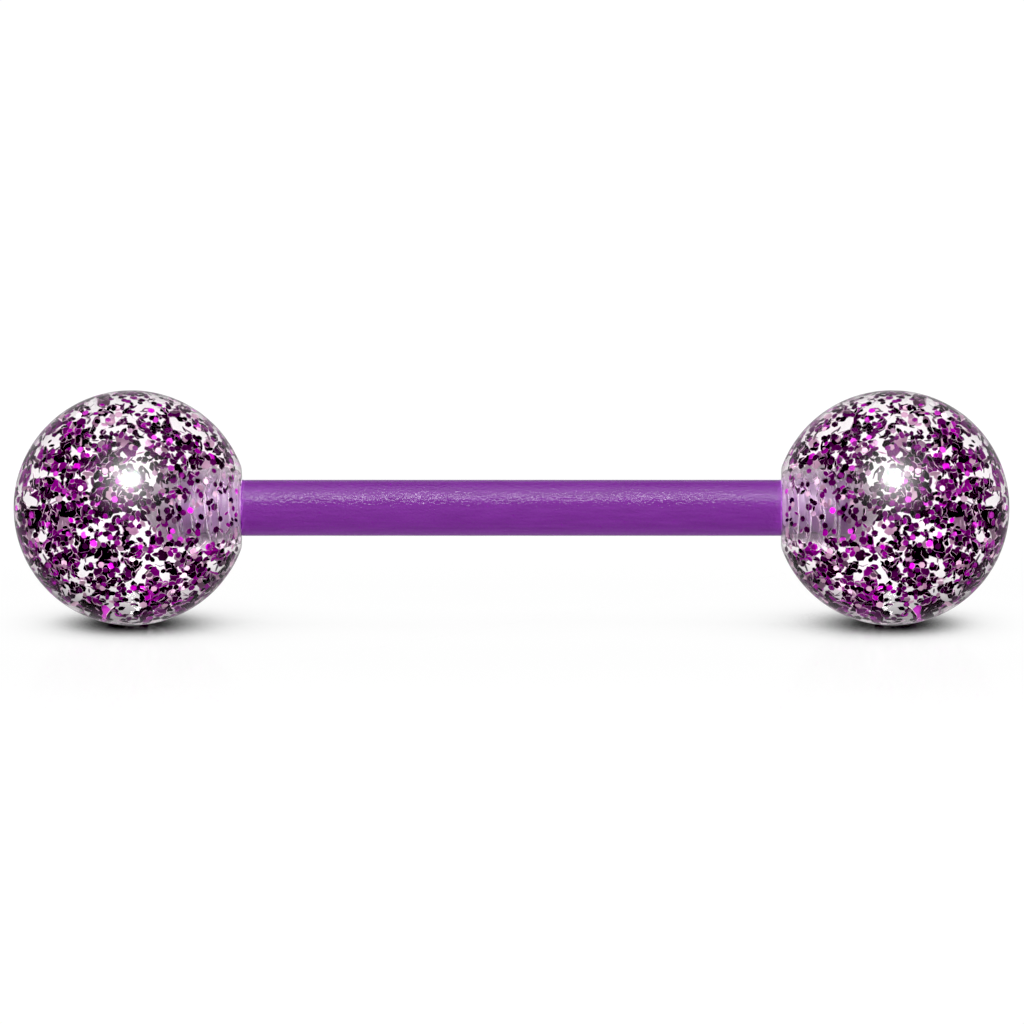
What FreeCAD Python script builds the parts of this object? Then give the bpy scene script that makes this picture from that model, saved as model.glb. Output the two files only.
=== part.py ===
"""A straight barbell, the kind worn in a piercing: a plastic shaft with a glitter-filled clear ball on each end.

Millimetres. +X runs along the shaft towards the right ball, +Z is up, and the origin is the middle of the
shaft. Each sub-part is written to parts/NODE.step.
"""

import FreeCAD, Part
import math
import os
import random

from FreeCAD import Placement, Rotation, Vector

# Driving dimensions
SHAFT_D = 1.6  # 14 gauge
GRIP_LENGTH = 15.4  # the bare shaft between the two balls
BALL_D = 6.7
SEAT_D = 2.3  # the flat on a ball where it meets the shaft
SEAT_EDGE = 0.04  # rounding where the flat meets the sphere

# Thread on the shaft ends, M1.6 x 0.35
THREAD_PITCH = 0.35
THREAD_D = 1.52  # over the crests, at the low end of the thread's tolerance
THREAD_CORE_D = 1.17
THREAD_LENGTH = 2.3
THREAD_RELIEF = 0.15  # bare core between the thread and the shoulder
THREAD_CREST = THREAD_PITCH / 8
THREAD_FLANK_DEG = 30.0
THREAD_ROOT_SINK = 0.03  # how far the ridge is set into the core, to join it
TIP_CHAMFER = 0.12

# Blind hole in a ball. Its thread is cut wide enough to clear the shaft's crests, so that the ball draws straight off.
HOLE_D = 1.55  # less than the shaft, whose shoulder closes it
HOLE_THREAD_D = 1.72
HOLE_DEPTH = 2.5
HOLE_DRILL_DEG = 118.0

# Glitter flakes: hexagons punched from film
FLAKE_FLATS = 0.2
FLAKE_THICK = 0.03
FLAKE_COUNT = 150  # in each ball
FLAKE_SEED = 14
FLAKE_CLEAR = 0.12  # from the ball's skin and from the hole
FLAKE_GAP = 0.04  # between neighbours

SHAFT_R = SHAFT_D / 2
BALL_R = BALL_D / 2
HOLE_R = HOLE_D / 2
SEAT_FROM_CENTRE = math.sqrt(BALL_R**2 - (SEAT_D / 2) ** 2)
SEAT_X = GRIP_LENGTH / 2
BALL_X = SEAT_X + SEAT_FROM_CENTRE
TIP_X = -SEAT_X - THREAD_LENGTH

X_AXIS = Vector(1, 0, 0)
Z_AXIS = Vector(0, 0, 1)
ORIGIN = Vector(0, 0, 0)


def revolved(outline):
    """The solid that an outline of (x, radius) points makes when it turns about the X axis."""
    points = [Vector(x, 0, r) for x, r in outline]
    face = Part.Face(Part.makePolygon(points + points[:1]))
    return face.revolve(ORIGIN, X_AXIS, 360)


def end_for_end(shape):
    """A copy of the left end's shape, turned round to the right end, so that its thread stays right-handed."""
    turned = shape.copy()
    turned.rotate(ORIGIN, Z_AXIS, 180)
    return turned


def thread_ridge(core_d, crest_d):
    """A helical ridge round the left end's axis, a turn longer at each end than the shaft's thread."""
    sunk_r = core_d / 2 - THREAD_ROOT_SINK
    crest_r = crest_d / 2
    crest_half = THREAD_CREST / 2
    sunk_half = crest_half + (crest_r - sunk_r) * math.tan(math.radians(THREAD_FLANK_DEG))
    corners = [
        Vector(sunk_r, 0, -sunk_half),
        Vector(crest_r, 0, -crest_half),
        Vector(crest_r, 0, crest_half),
        Vector(sunk_r, 0, sunk_half),
    ]
    helix = Part.makeHelix(THREAD_PITCH, THREAD_LENGTH + 2 * THREAD_PITCH, core_d / 2)
    sweep = Part.BRepOffsetAPI.MakePipeShell(Part.Wire(helix))
    sweep.setFrenetMode(True)
    sweep.add(Part.makePolygon(corners + corners[:1]))
    sweep.build()
    sweep.makeSolid()
    ridge = sweep.shape()
    ridge.rotate(ORIGIN, Vector(0, 1, 0), 90)
    ridge.translate(Vector(TIP_X - THREAD_PITCH, 0, 0))
    return ridge


def threaded_end():
    """The left end of the shaft: a core and its thread, trimmed at the relief and to a chamfered tip."""
    tip_r = THREAD_D / 2 - TIP_CHAMFER
    widening = THREAD_LENGTH - THREAD_RELIEF
    core = Part.makeCylinder(THREAD_CORE_D / 2, THREAD_LENGTH, Vector(TIP_X, 0, 0), X_AXIS)
    thread_space = revolved(
        [
            (TIP_X, 0),
            (TIP_X, tip_r),
            (TIP_X + widening, tip_r + widening),
            (TIP_X + widening, 0),
        ]
    )
    return core.fuse(thread_ridge(THREAD_CORE_D, THREAD_D).common(thread_space))


def make_shaft():
    """The rod between the balls, with a threaded end at each side, as one solid."""
    rod = Part.makeCylinder(SHAFT_R, GRIP_LENGTH, Vector(-SEAT_X, 0, 0), X_AXIS)
    end = threaded_end()
    return rod.fuse([end, end_for_end(end)]).removeSplitter()


def threaded_hole():
    """The space of the left ball's hole: a drilled blind hole, plain at the mouth and then threaded."""
    bottom_x = -SEAT_X - HOLE_DEPTH
    cone = HOLE_R / math.tan(math.radians(HOLE_DRILL_DEG / 2))
    drilled = revolved([(bottom_x - cone, 0), (bottom_x, HOLE_R), (-SEAT_X, HOLE_R), (-SEAT_X, 0)])
    tapped = Part.makeCylinder(HOLE_THREAD_D, THREAD_LENGTH - THREAD_RELIEF, Vector(TIP_X, 0, 0), X_AXIS)
    return drilled.fuse(thread_ridge(HOLE_D, HOLE_THREAD_D).common(tapped))


def make_left_ball():
    """A ball cut flat at its seat, with the threaded hole."""
    ball = Part.makeSphere(BALL_R, Vector(-BALL_X, 0, 0))
    keep = Part.makeBox(2 * BALL_R, 2 * BALL_R, 2 * BALL_R, Vector(-SEAT_X - 2 * BALL_R, -BALL_R, -BALL_R))
    ball = ball.common(keep)
    rim = [e for e in ball.Edges if abs(e.BoundBox.XMin + SEAT_X) < 1e-6 and e.Length > SEAT_D]
    return ball.makeFillet(SEAT_EDGE, rim).cut(threaded_hole())


def flake_fits(centre, others):
    """Whether a flake at this point, measured from the ball's centre, stays in the plastic and off the rest."""
    corner_r = FLAKE_FLATS / math.sqrt(3)
    if centre.Length > BALL_R - FLAKE_CLEAR - corner_r:
        return False
    if centre.x > SEAT_FROM_CENTRE - FLAKE_CLEAR - corner_r:
        return False
    off_axis = math.hypot(centre.y, centre.z)
    hole_end = SEAT_FROM_CENTRE - HOLE_DEPTH - HOLE_R
    if centre.x > hole_end - FLAKE_CLEAR - corner_r and off_axis < HOLE_R + FLAKE_CLEAR + corner_r:
        return False
    return all((centre - o).Length > 2 * corner_r + FLAKE_GAP for o in others)


def flake_centres():
    """Points for the flakes of one ball, from its centre, scattered evenly through the plastic."""
    draw = random.Random(FLAKE_SEED)
    found = []
    while len(found) < FLAKE_COUNT:
        centre = Vector(*(draw.uniform(-BALL_R, BALL_R) for _ in range(3)))
        if flake_fits(centre, found):
            found.append(centre)
    return found


def make_left_glitter():
    """The left ball's flakes, each a hexagonal slip of film turned at random, as one group of solids."""
    draw = random.Random(FLAKE_SEED + 1)
    corner_r = FLAKE_FLATS / math.sqrt(3)
    corners = [
        Vector(corner_r * math.cos(math.radians(60 * i)), corner_r * math.sin(math.radians(60 * i)), 0)
        for i in range(6)
    ]
    slip = Part.Face(Part.makePolygon(corners + corners[:1])).extrude(Z_AXIS * FLAKE_THICK)
    slip.translate(Z_AXIS * (-FLAKE_THICK / 2))
    flakes = []
    for centre in flake_centres():
        turn = Rotation(Vector(*(draw.gauss(0, 1) for _ in range(3))), draw.uniform(0, 180))
        flake = slip.copy()
        flake.Placement = Placement(centre + Vector(-BALL_X, 0, 0), turn)
        flakes.append(flake)
    return Part.makeCompound(flakes)


def main():
    os.makedirs("parts", exist_ok=True)
    left_ball = make_left_ball()
    left_glitter = make_left_glitter()
    parts = {
        "shaft": make_shaft(),
        "left_ball": left_ball,
        "right_ball": end_for_end(left_ball),
        "left_glitter": left_glitter,
        "right_glitter": end_for_end(left_glitter),
    }
    for node, shape in parts.items():
        good = shape.isValid() and all(s.isClosed() for s in shape.Solids)
        print(node, "solids", len(shape.Solids), "volume", round(shape.Volume, 3), "valid", good)
        shape.exportStep(f"parts/{node}.step")


main()
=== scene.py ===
"""Looks for a straight barbell: a purple plastic shaft with a clear, glitter-filled ball on each end.

Metres, in the CAD frame: +X runs along the shaft towards the right ball and +Z is up.
"""

import math
import random

import bpy
from mathutils import Matrix, Vector, noise


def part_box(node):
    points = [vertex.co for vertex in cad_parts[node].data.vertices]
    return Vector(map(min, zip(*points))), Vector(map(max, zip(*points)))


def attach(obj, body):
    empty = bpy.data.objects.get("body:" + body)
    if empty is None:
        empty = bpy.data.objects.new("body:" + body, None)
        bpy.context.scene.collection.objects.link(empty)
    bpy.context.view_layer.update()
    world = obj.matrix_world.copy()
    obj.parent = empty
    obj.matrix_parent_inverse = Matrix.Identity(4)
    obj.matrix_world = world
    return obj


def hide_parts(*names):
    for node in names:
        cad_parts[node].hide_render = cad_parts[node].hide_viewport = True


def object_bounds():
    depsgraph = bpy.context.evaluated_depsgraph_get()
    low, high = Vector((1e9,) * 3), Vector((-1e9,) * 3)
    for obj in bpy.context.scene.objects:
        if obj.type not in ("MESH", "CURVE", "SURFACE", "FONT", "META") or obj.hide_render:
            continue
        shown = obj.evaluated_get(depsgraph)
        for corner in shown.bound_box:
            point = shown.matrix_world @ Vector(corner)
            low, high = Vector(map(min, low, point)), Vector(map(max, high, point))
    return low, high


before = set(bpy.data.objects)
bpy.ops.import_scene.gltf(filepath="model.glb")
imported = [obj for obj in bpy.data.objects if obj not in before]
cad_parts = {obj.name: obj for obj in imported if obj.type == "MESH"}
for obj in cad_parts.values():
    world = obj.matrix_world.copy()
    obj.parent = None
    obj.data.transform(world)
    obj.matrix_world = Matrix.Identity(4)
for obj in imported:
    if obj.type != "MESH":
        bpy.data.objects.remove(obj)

MM = 0.001

cad_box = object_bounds()
shaft_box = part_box("shaft")
ball_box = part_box("left_ball")

# Sizes that the frame gives
SHAFT_R = shaft_box[1].z
TIP_X = shaft_box[1].x
BALL_R = (ball_box[1].z - ball_box[0].z) / 2
SEAT_X = -ball_box[1].x
BALL_X = -ball_box[0].x - BALL_R
SEAT_FROM_CENTRE = BALL_X - SEAT_X
SEAT_R = math.sqrt(BALL_R**2 - SEAT_FROM_CENTRE**2)

# Thread, as on the CAD parts
PITCH = 0.35 * MM
CORE_R = 0.585 * MM
CREST_R = 0.76 * MM
CREST_HALF = PITCH / 16
FLANK = math.tan(math.radians(30))
RELIEF = 0.15 * MM
RELIEF_BARE = RELIEF * 0.8  # how far from the shoulder the bare core is drawn
TIP_CHAMFER = 0.12 * MM
HOLE_R = 0.775 * MM
HOLE_THREAD_R = 0.86 * MM
HOLE_DEPTH = 2.5 * MM
HOLE_CONE = HOLE_R / math.tan(math.radians(59))
HOLE_RUNOUT = 0.02 * MM  # from the end of the hole's thread to the plain bore

# Mesh fineness
SEGMENTS = 128
SPHERE_RINGS = 96
RINGS_PER_TURN = 12
CORNER_STEPS = 4
EDGE_ROUND = 0.04 * MM
SHARP = math.radians(40)

# The drawn rod: true to a few thousandths of a millimetre
ROD_RING = 0.1 * MM
ROD_WAVE = 0.9 * MM  # along the rod, in each cell of the unevenness
ROD_WAVES_ROUND = 3  # radius of the noise that goes once round the rod, in cells
ROD_UNEVEN = 0.004 * MM

# Glitter: hexagons of film
FLAKES = 3250  # in each ball
FLAKE_FLATS = 0.162 * MM
FLAKE_LARGEST = 1.12
FLAKE_SMALLEST = 0.88
FLAKE_THICK = 0.01 * MM
FLAKE_SKIN = 0.025 * MM  # clear plastic outside the flakes
FLAKE_SPACING = 0.09 * MM
STEEPEST = math.radians(65)  # a flake's tilt from lying along the ball's skin
LEAST_ROOM = 0.02  # room for a tilt, as a share of a flake's radius
GLITTER_SEED = 5
HEXAGON = 6

# How crowded the glitter is
BAND_TILT = math.radians(-32)
BAND_ALONG = 2.0 * MM  # sizes of a band's noise cell
BAND_ACROSS = 0.8 * MM
BAND_DEEP = 1.4 * MM
BAND_SHIFT = 4.2  # which slice of the noise the bands come from
CLUMP_CELL = 0.3 * MM
CROWD_MIDDLE = 0.4  # at the ball's centre, against 1 at its skin
CROWD_MEAN = 0.46
CROWD_BANDS = 0.7
CROWD_CLUMPS = 1.3
CROWD_LEAST = 0.04

# Fineness of the materials' grain, in noise cells in each metre
STREAK_CELLS = 9000
LUMP_CELLS = 16000
WEAR_CELLS = 1800
CRINKLE_CELLS = 9000
CUT_CELLS = 12000
NOISE_LOW = 0.3  # nearly all of a noise texture's values lie between these two
NOISE_HIGH = 0.7

# Materials
DRAWN_COLOURS = ((0.175, 0.032, 0.265), (0.205, 0.038, 0.31))
# painted shade: the threads get a darker, greyer copy of the shaft's purple, for where they sit inside the
# balls' holes
THREAD_SHADED_COLOURS = ((0.12, 0.035, 0.155), (0.17, 0.06, 0.215))
DRAWN_GRAIN = 0.009 * MM
THREAD_GRAIN = 0.004 * MM
SHAFT_SPECULAR = 0.65
ACRYLIC_IOR = 1.49
ACRYLIC_SPECULAR_TINT = (0.06, 0.06, 0.06, 1)
HAZE_WEIGHT = 0.03
HAZE_IOR = 3
HAZE_ROUGHNESS = 0.4
POLISHED_TINT = (0.99, 0.945, 0.965)
# painted shade: the hole's walls are tinted dark grey-purple, which dims what is seen through them in the
# bore
CUT_PAINTED_SHADE = (0.47, 0.375, 0.46)
FILM_GRAIN = 0.004 * MM
EDGE_COLOURS = ((0.08, 0.015, 0.08), (0.9, 0.66, 0.82))

# Floor and world
FLOOR_HALF = 1.5
FLOOR_WHITE = 1.03  # a little over 1, because the dim mirror takes some away
FLOOR_MIRRORED = 0.35
SHADOW_REACH = 12 * MM
SHADOW_SAMPLES = 16
SHADOW_CURVE = ((0, 0.01), (0.08, 0.02), (0.2, 0.2), (0.36, 0.62), (0.54, 0.93), (1, 1))
POLISH_SHARE = 0.07
POLISH_ROUGHNESS = 0.12
POLISH_FULL = 6 * MM  # from the shaft's line, to the front or the back
POLISH_GONE = 18 * MM
SKY_HORIZON = 1
SKY_OVERHEAD = 0.4
SKY_FADE = (0.2, 0.7)  # heights on a unit sphere
SKY_MIRRORED = 0.5

# Picture
LENS = 500
SENSOR = 36
FRAME_WIDTH = 1.0285  # in lengths of the object
CAMERA_ELEVATION = math.radians(10)
CAMERA_AIM = Vector((0.014 * MM, 0, -0.122 * MM))  # from the object's middle
BLACK = 0.03


# ---------------------------------------------------------------- meshes


def new_piece(name, verts, faces, materials, face_materials=None):
    """A mesh object in the scene. Each face has its material's number, or else they all have the first."""
    mesh = bpy.data.meshes.new(name)
    mesh.from_pydata(verts, [], faces)
    for material in materials:
        mesh.materials.append(material)
    if face_materials:
        mesh.polygons.foreach_set("material_index", face_materials)
    mesh.validate()
    piece = bpy.data.objects.new(name, mesh)
    bpy.context.scene.collection.objects.link(piece)
    return piece


def turned(name, rings, materials):
    """A closed piece of rings about the X axis.

    A ring is (x, radius at each segment). The first and the last ring are points.
    """
    verts = [(rings[0][0], 0, 0)]
    for x, radii in rings[1:-1]:
        for i, r in enumerate(radii):
            angle = math.tau * i / SEGMENTS
            verts.append((x, r * math.cos(angle), r * math.sin(angle)))
    verts.append((rings[-1][0], 0, 0))
    last = len(verts) - 1
    faces = []
    for i in range(SEGMENTS):
        j = (i + 1) % SEGMENTS
        faces.append((0, 1 + j, 1 + i))
        for k in range(len(rings) - 3):
            a = 1 + k * SEGMENTS
            b = a + SEGMENTS
            faces.append((a + i, a + j, b + j, b + i))
        faces.append((last - SEGMENTS + i, last - SEGMENTS + j, last))
    piece = new_piece(name, verts, faces, materials)
    piece.data.shade_smooth()
    piece.data.set_sharp_from_angle(angle=SHARP)
    return piece


def rounded(before, corner, after):
    """Points (x, r) that round a corner between two points of an outline."""
    points = []
    for i in range(CORNER_STEPS + 1):
        t = i / CORNER_STEPS
        a, b, c = (1 - t) ** 2, 2 * t * (1 - t), t * t
        points.append(tuple(a * p + b * q + c * s for p, q, s in zip(before, corner, after)))
    return points


def thread_height(x, segment, depth):
    """How far a right-hand thread's ridge stands up at a place round the axis."""
    phase = x / PITCH - segment / SEGMENTS
    off_crest = abs(phase - round(phase)) * PITCH
    return min(max(depth - (off_crest - CREST_HALF) / FLANK, 0), depth)


def fade(x, low, high):
    """From 0 at a thread's ends to 1 half a turn further in."""
    return min(max(min(x - low, high - x) / (PITCH / 2), 0), 1)


def plain(points):
    """Round rings through these points (x, r)."""
    return [(x, [r] * SEGMENTS) for x, r in points]


def evenly(start, stop, step):
    """Values from start to stop, about a step apart."""
    count = max(1, round(abs(stop - start) / step))
    return [start + (stop - start) * i / count for i in range(count + 1)]


def threaded_end():
    """The rings of the shaft's right end, from the shoulder to the tip."""
    shoulder = [
        *rounded((SEAT_X - EDGE_ROUND, SHAFT_R), (SEAT_X, SHAFT_R), (SEAT_X, SHAFT_R - EDGE_ROUND)),
        (SEAT_X, CORE_R + EDGE_ROUND / 2),
        (SEAT_X + EDGE_ROUND / 2, CORE_R),
        (SEAT_X + RELIEF_BARE, CORE_R),
    ]
    rings = plain(shoulder)
    low = SEAT_X + RELIEF
    high = TIP_X + PITCH
    for x in evenly(low, TIP_X - EDGE_ROUND, PITCH / RINGS_PER_TURN):
        radii = []
        for i in range(SEGMENTS):
            ridge = thread_height(x, i, CREST_R - CORE_R) * fade(x, low, high)
            radii.append(min(CORE_R + ridge, CREST_R - TIP_CHAMFER + TIP_X - x))
        rings.append((x, radii))
    rings += plain([(TIP_X, CORE_R - EDGE_ROUND)])
    rings.append((TIP_X, None))
    return rings


def rod_rings():
    """The rings of the plain rod."""
    rings = []
    for x in evenly(-SEAT_X + 2 * EDGE_ROUND, SEAT_X - 2 * EDGE_ROUND, ROD_RING):
        radii = []
        for i in range(SEGMENTS):
            angle = math.tau * i / SEGMENTS
            round_y = ROD_WAVES_ROUND * math.cos(angle)
            round_z = ROD_WAVES_ROUND * math.sin(angle)
            place = Vector((x / ROD_WAVE, round_y, round_z))
            radii.append(SHAFT_R - ROD_UNEVEN * (1 + noise.noise(place)) / 2)
        rings.append((x, radii))
    return rings


def end_for_end(rings):
    """Rings of the right end, turned about Z to the left end, so that its thread stays right-handed."""
    out = []
    for x, radii in reversed(rings):
        if radii is not None:
            radii = [radii[(SEGMENTS // 2 - i) % SEGMENTS] for i in range(SEGMENTS)]
        out.append((-x, radii))
    return out


def make_shaft(drawn, threaded):
    """The rod with its two threaded ends, which have a material of their own: a darker, greyer copy of the
    rod's plastic, as painted shade for the part that sits in the balls' holes.
    """
    right = threaded_end()
    shaft = turned("plastic_shaft", end_for_end(right) + rod_rings() + right, [drawn, threaded])
    for face in shaft.data.polygons:
        if abs(face.center.x) > SEAT_X + EDGE_ROUND / 2:
            face.material_index = 1
    return shaft


def ball_rings():
    """The right ball's rings, from the bottom of its hole to its mouth and over the sphere to the pole."""
    bottom = SEAT_X + HOLE_DEPTH
    low = SEAT_X + RELIEF
    high = TIP_X
    rings = [(bottom + HOLE_CONE, None)]
    rings += plain([(bottom + HOLE_CONE * (1 - t), HOLE_R * t) for t in (0.25, 0.5, 0.75, 1)])
    rings += plain([(high + HOLE_RUNOUT, HOLE_R)])
    for x in evenly(high, low, PITCH / RINGS_PER_TURN):
        depth = HOLE_THREAD_R - HOLE_R
        radii = [HOLE_R + thread_height(x, i, depth) * fade(x, low, high) for i in range(SEGMENTS)]
        rings.append((x, radii))
    mouth = EDGE_ROUND / 2
    rings += plain(rounded((SEAT_X + mouth, HOLE_R), (SEAT_X, HOLE_R), (SEAT_X, HOLE_R + mouth)))
    seat_angle = math.asin(SEAT_R / BALL_R)
    first = seat_angle + EDGE_ROUND / BALL_R
    angles = evenly(first, math.pi, math.pi / SPHERE_RINGS)
    sphere = [(BALL_X - BALL_R * math.cos(a), BALL_R * math.sin(a)) for a in angles]
    rings += plain(rounded((SEAT_X, SEAT_R - EDGE_ROUND), (SEAT_X, SEAT_R), sphere[0]))
    rings += plain(sphere[1:-1])
    rings.append((BALL_X + BALL_R, None))
    return rings


def make_ball(name, side, polished, cut):
    """A ball with a polished outside, and a hole with a material of its own. Side is -1 for the left ball."""
    rings = ball_rings()
    if side < 0:
        rings = end_for_end(rings)
    ball = turned(name, rings, [polished, cut])
    for face in ball.data.polygons:
        off_axis = math.hypot(face.center.y, face.center.z)
        deep = abs(face.center.x) - SEAT_X
        if off_axis < HOLE_THREAD_R and 0 < deep < HOLE_DEPTH + HOLE_CONE:
            face.material_index = 1
    return ball


# ---------------------------------------------------------------- glitter


def clump(point):
    """From 0 to 1: how crowded the glitter is here. It lies in bands that slope down towards the shaft."""
    along = point.x * math.cos(BAND_TILT) + point.z * math.sin(BAND_TILT)
    across = point.z * math.cos(BAND_TILT) - point.x * math.sin(BAND_TILT)
    place = Vector((along / BAND_ALONG, across / BAND_ACROSS, point.y / BAND_DEEP + BAND_SHIFT))
    bands = CROWD_BANDS * noise.noise(place)
    clumps = CROWD_CLUMPS * noise.noise(point / CLUMP_CELL)
    outer = CROWD_MIDDLE + (1 - CROWD_MIDDLE) * (point.length / BALL_R) ** 2
    return outer * min(max(CROWD_MEAN + bands + clumps, CROWD_LEAST), 1)


def in_plastic(point, corner_r):
    """Whether a flake may be at this point, measured from the left ball's centre."""
    if point.length > BALL_R - FLAKE_SKIN:
        return False
    if point.x > SEAT_FROM_CENTRE - FLAKE_SKIN - corner_r:
        return False
    off_axis = math.hypot(point.y, point.z)
    hole_end = SEAT_FROM_CENTRE - HOLE_DEPTH - HOLE_CONE
    return point.x < hole_end - corner_r or off_axis > HOLE_THREAD_R + FLAKE_SKIN + corner_r


def spots(draw, corner_r):
    """Where the flakes of one ball lie, from its centre."""
    cells = {}
    found = []
    while len(found) < FLAKES:
        point = Vector([draw.uniform(-BALL_R, BALL_R) for _ in range(3)])
        if not in_plastic(point, corner_r) or draw.random() > clump(point):
            continue
        cell = tuple(math.floor(c / FLAKE_SPACING) for c in point)
        near = [
            other
            for i in (-1, 0, 1)
            for j in (-1, 0, 1)
            for k in (-1, 0, 1)
            for other in cells.get((cell[0] + i, cell[1] + j, cell[2] + k), [])
        ]
        if all((point - other).length > FLAKE_SPACING for other in near):
            cells.setdefault(cell, []).append(point)
            found.append(point)
    return found


def facing(draw, point, corner_r):
    """The turn of a flake. The nearer it is to the skin, the flatter it lies against it."""
    room = (BALL_R - FLAKE_SKIN / 2 - point.length) / corner_r
    tilt_limit = min(STEEPEST, math.asin(min(max(room, LEAST_ROOM), 1)))
    tilt = math.acos(1 - draw.random() * (1 - math.cos(tilt_limit)))
    outwards = point.to_track_quat("Z", "Y").to_matrix()
    return (
        outwards
        @ Matrix.Rotation(draw.uniform(0, math.tau), 3, "Z")
        @ Matrix.Rotation(tilt, 3, "X")
        @ Matrix.Rotation(draw.uniform(0, math.tau), 3, "Z")
    )


def flake_corners(scale):
    """The lower and then the upper corners of a flake that lies flat."""
    corner_r = FLAKE_FLATS / math.sqrt(3) * scale
    turns = [math.tau * i / HEXAGON for i in range(HEXAGON)]
    ring = [(corner_r * math.cos(turn), corner_r * math.sin(turn)) for turn in turns]
    return [Vector((x, y, z)) for z in (-FLAKE_THICK / 2, FLAKE_THICK / 2) for x, y in ring]


def flake_faces():
    """The corners of a flake's lower face, its upper face and its sides."""
    lower = tuple(reversed(range(HEXAGON)))
    upper = tuple(range(HEXAGON, 2 * HEXAGON))
    sides = [(i, (i + 1) % HEXAGON, (i + 1) % HEXAGON + HEXAGON, i + HEXAGON) for i in range(HEXAGON)]
    return [lower, upper, *sides]


def make_flakes(name, side, glitter, edge):
    """The flakes of one ball. The right ball's lie as the left ball's do in a mirror."""
    draw = random.Random(GLITTER_SEED)
    corner_r = FLAKE_LARGEST * FLAKE_FLATS / math.sqrt(3)
    verts = []
    faces = []
    kinds = []
    shares = [share for share, _ in glitter]
    flake = flake_faces()
    for point in spots(draw, corner_r):
        kind = draw.choices(range(len(glitter)), shares)[0]
        turn = facing(draw, point, corner_r)
        first = len(verts)
        for corner in flake_corners(draw.uniform(FLAKE_SMALLEST, FLAKE_LARGEST)):
            place = turn @ corner + point
            verts.append((side * (BALL_X - place.x), place.y, place.z))
        for face in flake:
            loop = [first + i for i in face]
            faces.append(loop if side < 0 else loop[::-1])
            kinds.append(kind if len(face) == HEXAGON else len(glitter))
    return new_piece(name, verts, faces, [material for _, material in glitter] + [edge], kinds)


# ---------------------------------------------------------------- materials


def node_material(name):
    """A material with its nodes, its links and its shader."""
    material = bpy.data.materials.new(name)
    material.use_nodes = True
    nodes = material.node_tree.nodes
    return material, nodes, material.node_tree.links, nodes["Principled BSDF"]


def grain(nodes, links, scale, stretch=(1, 1, 1), detail=3.0):
    """Noise in the object's own metres: scale is its cells in each metre."""
    where = nodes.new("ShaderNodeTexCoord")
    spread = nodes.new("ShaderNodeMapping")
    spread.inputs["Scale"].default_value = stretch
    pattern = nodes.new("ShaderNodeTexNoise")
    pattern.inputs["Scale"].default_value = scale
    pattern.inputs["Detail"].default_value = detail
    links.new(where.outputs["Object"], spread.inputs["Vector"])
    links.new(spread.outputs["Vector"], pattern.inputs["Vector"])
    return pattern.outputs["Fac"]


def ranged(nodes, links, source, low, high, start=NOISE_LOW, stop=NOISE_HIGH):
    """A value that goes from low to high as the source goes from start to stop, and no further."""
    mapped = nodes.new("ShaderNodeMapRange")
    mapped.inputs["From Min"].default_value = start
    mapped.inputs["From Max"].default_value = stop
    mapped.inputs["To Min"].default_value = low
    mapped.inputs["To Max"].default_value = high
    links.new(source, mapped.inputs["Value"])
    return mapped.outputs["Result"]


def blended(nodes, links, source, first, second):
    """The first colour where the source is 0, the second where it is 1."""
    mix = nodes.new("ShaderNodeMix")
    mix.data_type = "RGBA"
    links.new(source, mix.inputs["Factor"])
    mix.inputs["A"].default_value = (*first, 1)
    mix.inputs["B"].default_value = (*second, 1)
    return mix.outputs["Result"]


def bump(nodes, links, height, distance):
    """Normals for a relief this deep."""
    node = nodes.new("ShaderNodeBump")
    node.inputs["Distance"].default_value = distance
    links.new(height, node.inputs["Height"])
    return node.outputs["Normal"]


def shaft_plastic(name, colours, low, high, depth):
    """Purple plastic with a roughness from low to high, and a fine crinkled grain this deep."""
    material, nodes, links, shader = node_material(name)
    streaks = grain(nodes, links, STREAK_CELLS, stretch=(0.1, 1, 1))
    lumps = grain(nodes, links, LUMP_CELLS, stretch=(0.6, 1, 1), detail=2.0)
    colour = blended(nodes, links, ranged(nodes, links, streaks, 0, 1), *colours)
    links.new(colour, shader.inputs["Base Color"])
    links.new(ranged(nodes, links, lumps, low, high), shader.inputs["Roughness"])
    rough = nodes.new("ShaderNodeMath")
    rough.operation = "ADD"
    links.new(ranged(nodes, links, lumps, 0, 1), rough.inputs[0])
    links.new(ranged(nodes, links, streaks, 0, 0.3), rough.inputs[1])
    links.new(bump(nodes, links, rough.outputs[0], depth), shader.inputs["Normal"])
    shader.inputs["Specular IOR Level"].default_value = SHAFT_SPECULAR
    return material


def acrylic(name, tint_and_painted_shade, low, high):
    """Acrylic with a roughness from low to high. Its colour is a faint tint on the polished outside and
    painted shade, a dark grey-purple, on the hole's walls. It casts no shadow, so the lamps reach the
    glitter.

    Its coat is a faint wide haze round the lamps' reflections.
    """
    material, nodes, links, shader = node_material(name)
    wear = grain(nodes, links, WEAR_CELLS)
    shader.inputs["Base Color"].default_value = (*tint_and_painted_shade, 1)
    shader.inputs["Transmission Weight"].default_value = 1
    shader.inputs["IOR"].default_value = ACRYLIC_IOR
    shader.inputs["Specular Tint"].default_value = ACRYLIC_SPECULAR_TINT
    shader.inputs["Coat Weight"].default_value = HAZE_WEIGHT
    shader.inputs["Coat IOR"].default_value = HAZE_IOR
    shader.inputs["Coat Roughness"].default_value = HAZE_ROUGHNESS
    links.new(ranged(nodes, links, wear, low, high), shader.inputs["Roughness"])
    ray = nodes.new("ShaderNodeLightPath")
    clear = nodes.new("ShaderNodeBsdfTransparent")
    mix = nodes.new("ShaderNodeMixShader")
    links.new(ray.outputs["Is Shadow Ray"], mix.inputs[0])
    links.new(shader.outputs[0], mix.inputs[1])
    links.new(clear.outputs[0], mix.inputs[2])
    links.new(mix.outputs[0], nodes["Material Output"].inputs["Surface"])
    return material


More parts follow.
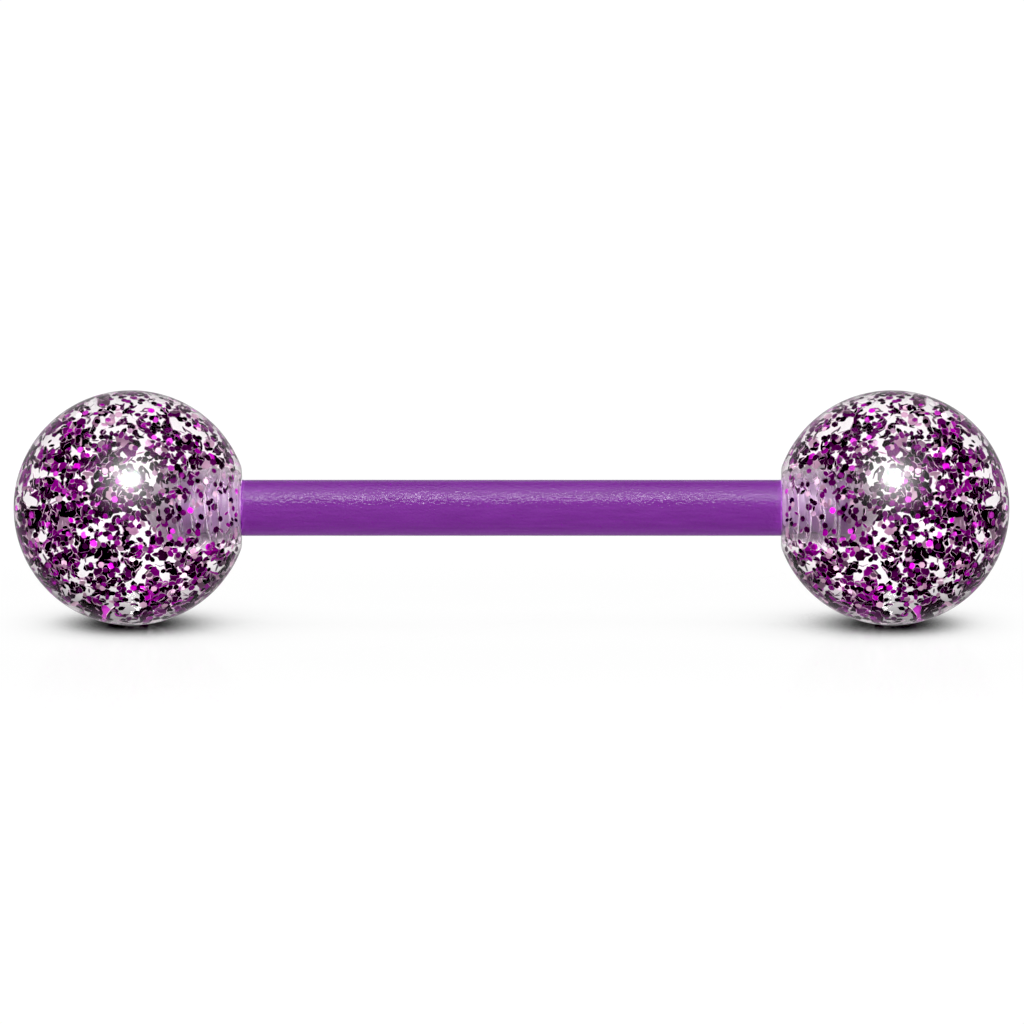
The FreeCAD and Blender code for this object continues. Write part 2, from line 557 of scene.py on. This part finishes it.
def film(name, first, second, low, high):
    """Lacquered metallised film, with a roughness from low to high. Each flake is between two colours, which
    are partly the film's own tone and partly painted light and shade: lighter and darker copies of one film,
    for flakes that catch more or less light.
    """
    material, nodes, links, shader = node_material(name)
    flake = nodes.new("ShaderNodeNewGeometry")
    colour = blended(nodes, links, flake.outputs["Random Per Island"], first, second)
    links.new(colour, shader.inputs["Base Color"])
    crinkle = grain(nodes, links, CRINKLE_CELLS)
    links.new(ranged(nodes, links, crinkle, low, high), shader.inputs["Roughness"])
    links.new(bump(nodes, links, crinkle, FILM_GRAIN), shader.inputs["Normal"])
    shader.inputs["Metallic"].default_value = 1
    links.new(colour, shader.inputs["Specular Tint"])
    return material


def film_edge():
    """The cut edge of the film, dark on some flakes and pale on others."""
    material, nodes, links, shader = node_material("film_edge")
    flake = nodes.new("ShaderNodeNewGeometry")
    wear = grain(nodes, links, CUT_CELLS)
    colour = blended(nodes, links, flake.outputs["Random Per Island"], *EDGE_COLOURS)
    links.new(colour, shader.inputs["Base Color"])
    links.new(ranged(nodes, links, wear, 0.35, 0.6), shader.inputs["Roughness"])
    return material


def films():
    """Each kind of flake, with its share of the glitter. All are one purple metallised film: the near-black
    kind is painted shade and the bright magenta kind a painted glint, for flakes turned away from the light
    and flakes catching it, on top of the light that the metal really reflects.
    """
    return [
        # painted shade: near-black copies of the purple film, standing in for flakes that catch no light
        (47, film("film_plum_painted_shade", (0.002, 0.0003, 0.002), (0.035, 0.003, 0.032), 0.28, 0.48)),
        (36, film("film_plum", (0.05, 0.004, 0.048), (0.24, 0.018, 0.23), 0.28, 0.48)),
        # painted glint: bright magenta copies of the purple film, standing in for flakes that catch the lamps
        (8, film("film_magenta_painted_glint", (0.28, 0.005, 0.265), (0.6, 0.014, 0.58), 0.28, 0.48)),
        (7, film("film_rose", (0.45, 0.26, 0.38), (0.8, 0.58, 0.7), 0.4, 0.6)),
        (4, film("film_smoke", (0.14, 0.08, 0.13), (0.36, 0.24, 0.32), 0.4, 0.6)),
    ]


# ---------------------------------------------------------------- stage


def dimmed(nodes, links, strength):
    """1 for every ray but a mirrored one, which gets this strength."""
    ray = nodes.new("ShaderNodeLightPath")
    mirrored = nodes.new("ShaderNodeMath")
    mirrored.operation = "SUBTRACT"
    mirrored.use_clamp = True
    links.new(ray.outputs["Is Glossy Ray"], mirrored.inputs[0])
    links.new(ray.outputs["Is Transmission Ray"], mirrored.inputs[1])
    return ranged(nodes, links, mirrored.outputs[0], 1, strength, 0, 1)


def contact_shadow(nodes, links):
    """A white glow that is dark where the object nearly touches the floor."""
    covered = nodes.new("ShaderNodeAmbientOcclusion")
    covered.inputs["Distance"].default_value = SHADOW_REACH
    covered.samples = SHADOW_SAMPLES
    shade = nodes.new("ShaderNodeFloatCurve")
    curve = shade.mapping.curves[0]
    for x, y in SHADOW_CURVE[1:-1]:
        curve.points.new(x, y)
    curve.points[0].location = SHADOW_CURVE[0]
    curve.points[-1].location = SHADOW_CURVE[-1]
    shade.mapping.update()
    glow = nodes.new("ShaderNodeEmission")
    glow.inputs["Color"].default_value = (FLOOR_WHITE, FLOOR_WHITE, FLOOR_WHITE, 1)
    links.new(covered.outputs["AO"], shade.inputs["Value"])
    links.new(shade.outputs[0], glow.inputs["Strength"])
    return glow.outputs[0]


def polished_strip(nodes, links, surface):
    """The surface, mirroring a little under the object and not at all far in front of it or behind it."""
    where = nodes.new("ShaderNodeTexCoord")
    axes = nodes.new("ShaderNodeSeparateXYZ")
    aside = nodes.new("ShaderNodeMath")
    aside.operation = "ABSOLUTE"
    links.new(where.outputs["Object"], axes.inputs[0])
    links.new(axes.outputs["Y"], aside.inputs[0])
    polish = ranged(nodes, links, aside.outputs[0], POLISH_SHARE, 0, POLISH_FULL, POLISH_GONE)
    mirror = nodes.new("ShaderNodeBsdfGlossy")
    mirror.inputs["Roughness"].default_value = POLISH_ROUGHNESS
    mix = nodes.new("ShaderNodeMixShader")
    links.new(polish, mix.inputs[0])
    links.new(surface, mix.inputs[1])
    links.new(mirror.outputs[0], mix.inputs[2])
    return mix.outputs[0]


def make_floor(height):
    """A pale floor. Only the camera sees its shadow and its mirroring; every other ray sees an even glow."""
    low, high = -FLOOR_HALF, FLOOR_HALF
    corners = [(low, low, height), (high, low, height), (high, high, height), (low, high, height)]
    floor = new_piece("floor", corners, [(0, 1, 2, 3)], [])
    material, nodes, links, _ = node_material("pale_floor")
    ray = nodes.new("ShaderNodeLightPath")
    plain_glow = nodes.new("ShaderNodeEmission")
    seen = nodes.new("ShaderNodeMixShader")
    surface = polished_strip(nodes, links, contact_shadow(nodes, links))
    links.new(dimmed(nodes, links, FLOOR_MIRRORED), plain_glow.inputs["Strength"])
    links.new(ray.outputs["Is Camera Ray"], seen.inputs[0])
    links.new(plain_glow.outputs[0], seen.inputs[1])
    links.new(surface, seen.inputs[2])
    links.new(seen.outputs[0], nodes["Material Output"].inputs["Surface"])
    floor.data.materials.append(material)


def make_world():
    """A white world, dimmer overhead than at the horizon."""
    world = bpy.data.worlds.new("studio")
    bpy.context.scene.world = world
    world.use_nodes = True
    nodes = world.node_tree.nodes
    links = world.node_tree.links
    where = nodes.new("ShaderNodeTexCoord")
    axes = nodes.new("ShaderNodeSeparateXYZ")
    links.new(where.outputs["Generated"], axes.inputs[0])
    sky = nodes.new("ShaderNodeMath")
    sky.operation = "MULTIPLY"
    height = ranged(nodes, links, axes.outputs["Z"], SKY_HORIZON, SKY_OVERHEAD, *SKY_FADE)
    links.new(height, sky.inputs[0])
    links.new(dimmed(nodes, links, SKY_MIRRORED), sky.inputs[1])
    links.new(sky.outputs[0], nodes["Background"].inputs["Strength"])
    nodes["Background"].inputs["Color"].default_value = (1, 1, 1, 1)


def softbox(name, azimuth, elevation, distance, width, height, radiance, lit):
    """A lamp panel that faces the object and lights only some pieces.

    Azimuth 0 is the camera's side. A panel as wide as it is high is a disc.
    """
    light = bpy.data.lights.new(name, "AREA")
    light.shape = "ELLIPSE" if width == height else "RECTANGLE"
    light.size = width
    light.size_y = height
    share = math.pi / 4 if light.shape == "ELLIPSE" else 1
    light.energy = radiance * math.pi * width * height * share
    lamp = bpy.data.objects.new(name, light)
    a = math.radians(azimuth)
    e = math.radians(elevation)
    away = Vector((math.sin(a) * math.cos(e), -math.cos(a) * math.cos(e), math.sin(e)))
    lamp.location = away * distance
    lamp.rotation_euler = away.to_track_quat("Z", "Y").to_euler()
    lamp.visible_camera = False
    lamp.light_linking.receiver_collection = lit
    bpy.context.scene.collection.objects.link(lamp)
    return lamp


def collected(name, pieces):
    """A collection that only light linking uses."""
    group = bpy.data.collections.new(name)
    for piece in pieces:
        group.objects.link(piece)
    return group


def make_camera(centre, length):
    """A long lens, a little above the object, with the object's length nearly filling the view."""
    camera = bpy.data.objects.new("camera", bpy.data.cameras.new("camera"))
    camera.data.lens = LENS
    camera.data.sensor_width = SENSOR
    back = Vector((0, -math.cos(CAMERA_ELEVATION), math.sin(CAMERA_ELEVATION)))
    distance = length * FRAME_WIDTH * LENS / SENSOR
    camera.location = centre + CAMERA_AIM + back * distance
    camera.rotation_mode = "QUATERNION"
    camera.rotation_quaternion = back.to_track_quat("Z", "Y")
    camera.data.clip_start = 1 * MM
    camera.data.clip_end = 20
    bpy.context.scene.collection.objects.link(camera)
    bpy.context.scene.camera = camera


def develop():
    """Plain colours, with the shadows a little deepened, as a shop's picture is."""
    settings = bpy.context.scene.view_settings
    settings.view_transform = "Standard"
    settings.use_curve_mapping = True
    settings.curve_mapping.black_level = (BLACK, BLACK, BLACK)
    settings.curve_mapping.update()


# ---------------------------------------------------------------- the barbell


def add(piece, body, node):
    """Hands a piece to the frame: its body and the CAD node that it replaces."""
    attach(piece, body)
    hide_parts(node)
    return piece


polished = acrylic("clear_acrylic", POLISHED_TINT, low=0.005, high=0.03)
# painted shade: a dark tint on the hole's walls
cut = acrylic("cut_acrylic_painted_shade", CUT_PAINTED_SHADE, low=0.75, high=0.9)
glitter = films()
edge = film_edge()
drawn = shaft_plastic("shaft_plastic", DRAWN_COLOURS, low=0.12, high=0.22, depth=DRAWN_GRAIN)
# painted shade: the threaded ends are a darker copy of the shaft plastic
threaded = shaft_plastic("thread_plastic_painted_shade", THREAD_SHADED_COLOURS, low=0.5, high=0.7, depth=THREAD_GRAIN)
shaft = add(make_shaft(drawn, threaded), "shaft", "shaft")
ends = []
for side, hand in ((-1, "left"), (1, "right")):
    body = f"{hand}_ball"
    ends += [
        add(make_ball(f"{hand}_clear_ball", side, polished, cut), body, body),
        add(make_flakes(f"{hand}_flakes", side, glitter, edge), body, f"{hand}_glitter"),
    ]

low, high = cad_box
make_floor(low.z)
make_world()
on_shaft = collected("lit_shaft", [shaft])
on_ends = collected("lit_ends", ends)
softbox("key", azimuth=0, elevation=39, distance=0.3, width=0.1, height=0.1, radiance=45, lit=on_ends)
softbox("top", azimuth=0, elevation=80, distance=0.3, width=0.5, height=0.4, radiance=0.7, lit=on_ends)
softbox("bank", azimuth=0, elevation=78, distance=0.3, width=0.5, height=0.32, radiance=1.0, lit=on_shaft)
softbox("strip", azimuth=0, elevation=54, distance=0.26, width=0.3, height=0.02, radiance=15, lit=on_shaft)
for azimuth, ball in zip((-4, 4), ends[::2]):
    on_ball = collected(f"lit_{ball.name}", [ball])
    glow = softbox(f"{ball.name}_glow", azimuth, 39, 0.28, width=0.1, height=0.1, radiance=300, lit=on_ball)
    glow.visible_transmission = False
make_camera((low + high) / 2, high.x - low.x)
develop()
